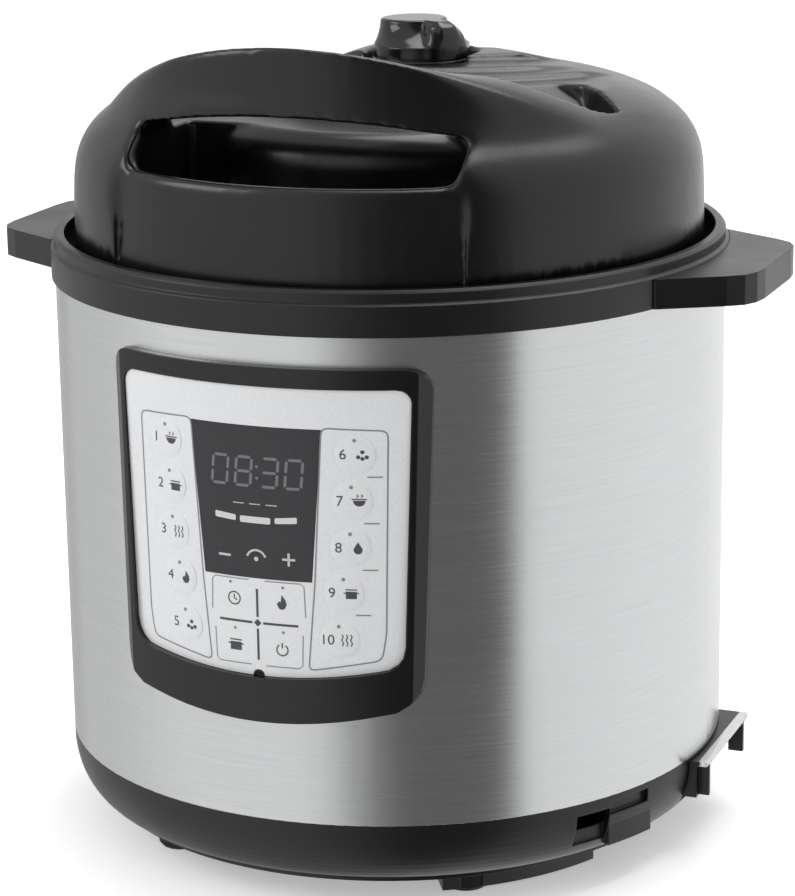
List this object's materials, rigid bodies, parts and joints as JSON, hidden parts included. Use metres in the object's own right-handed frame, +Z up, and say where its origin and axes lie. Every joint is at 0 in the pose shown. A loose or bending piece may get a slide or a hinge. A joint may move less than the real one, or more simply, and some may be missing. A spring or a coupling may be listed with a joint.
{
  "type": "electric pressure cooker",
  "caption": "Electric pressure cooker: steel body on a black base, curved control panel at the front, bayonet lid with a moulded arched handle and finger opening.",
  "frame": {"origin": "centre of the cooker on the surface it stands on", "axes": "+Z up, -Y towards the control panel, +X towards the side handle next to the power inlet"},
  "size_m": [0.32, 0.3005, 0.3264],
  "materials": {
    "black_plastic": "satin moulded black",
    "grey_plastic": "matt dark grey",
    "rubber_feet": "matt",
    "housing_steel": "brushed around the body",
    "pressed_steel": "pressed, satin",
    "cast_aluminium": "machined top, cast sides",
    "screw_steel": "zinc plated",
    "brass": "bare",
    "silver_film": "printed film, satin silver",
    "window_film": "tinted, glossy",
    "key_plastic": "matt white",
    "circuit_board": "satin green",
    "component_plastic": "matt",
    "ceramic": "matt",
    "silicone": "translucent white",
    "clear_cup": "translucent"
  },
  "bodies": {
    "cooker": {"base_shell": "black_plastic", "bottom_plate": "grey_plastic", "feet": "rubber_feet", "bottom_screws": "screw_steel", "steel_housing": "housing_steel", "top_collar": "black_plastic", "side_handle_left": "black_plastic", "side_handle_right": "black_plastic", "pressure_chamber": "pressed_steel", "heating_plate": "cast_aluminium", "heater_terminals": "ceramic", "sensor_holder": "pressed_steel", "sensor_spring": "screw_steel", "pressure_plate": "pressed_steel", "pressure_switch": "ceramic", "thermal_fuse": "ceramic", "power_board": "circuit_board", "power_components": "component_plastic", "inlet_housing": "black_plastic", "inlet_pins": "brass", "control_bezel": "black_plastic", "control_overlay": "silver_film", "display_window": "window_film", "key_plungers": "key_plastic", "key_switches": "component_plastic", "control_board": "circuit_board", "display_module": "component_plastic", "board_screws": "screw_steel", "condensation_bracket": "black_plastic"},
    "sensor": {"sensor_cap": "cast_aluminium"},
    "cup": {"condensation_cup": "clear_cup"},
    "pot": {"cooking_pot": "pressed_steel"},
    "ring": {"sealing_ring": "silicone"},
    "lid": {"lid_cover": "black_plastic", "lid_liner": "pressed_steel", "seal_rack": "pressed_steel", "liner_screws": "screw_steel", "steam_pipe": "pressed_steel", "pipe_nut": "screw_steel", "steam_filter": "pressed_steel", "float_guard": "pressed_steel"},
    "knob": {"steam_release_knob": "black_plastic"},
    "float": {"float_valve": "grey_plastic"},
    "lock": {"lock_slider": "grey_plastic"}
  },
  "joints": [
    {"name": "lid_lift", "type": "slide", "parent": "cooker", "child": "ring", "axis": [0, 0, 1], "range_m": [0, 0.36]},
    {"name": "lid_turn", "type": "hinge", "parent": "ring", "child": "lid", "pos_m": [0, 0, 0.24], "axis": [0, 0, 1], "range_deg": [0, 30]},
    {"name": "pot_lift", "type": "slide", "parent": "cooker", "child": "pot", "axis": [0, 0, 1], "range_m": [0, 0.19]},
    {"name": "knob_turn", "type": "hinge", "parent": "lid", "child": "knob", "pos_m": [0, 0.038, 0.3], "axis": [0, 0, 1], "range_deg": [0, 40]},
    {"name": "float_rise", "type": "slide", "parent": "lid", "child": "float", "axis": [0, 0, 1], "range_m": [0, 0.004]},
    {"name": "lock_slide", "type": "slide", "parent": "lid", "child": "lock", "axis": [1, 0, 0], "range_m": [0, 0.004]},
    {"name": "sensor_press", "type": "slide", "parent": "cooker", "child": "sensor", "axis": [0, 0, 1], "range_m": [-0.0025, 0], "stiffness_N_per_m": 400, "springref_m": 0.002, "deforming": ["sensor_spring"]},
    {"name": "cup_slide", "type": "slide", "parent": "cooker", "child": "cup", "axis": [0, 1, 0], "range_m": [0, 0.04]}
  ],
  "couplings": [
    {"joint": "pot_lift", "follows": "lid_lift", "ratio": 0.5}
  ]
}
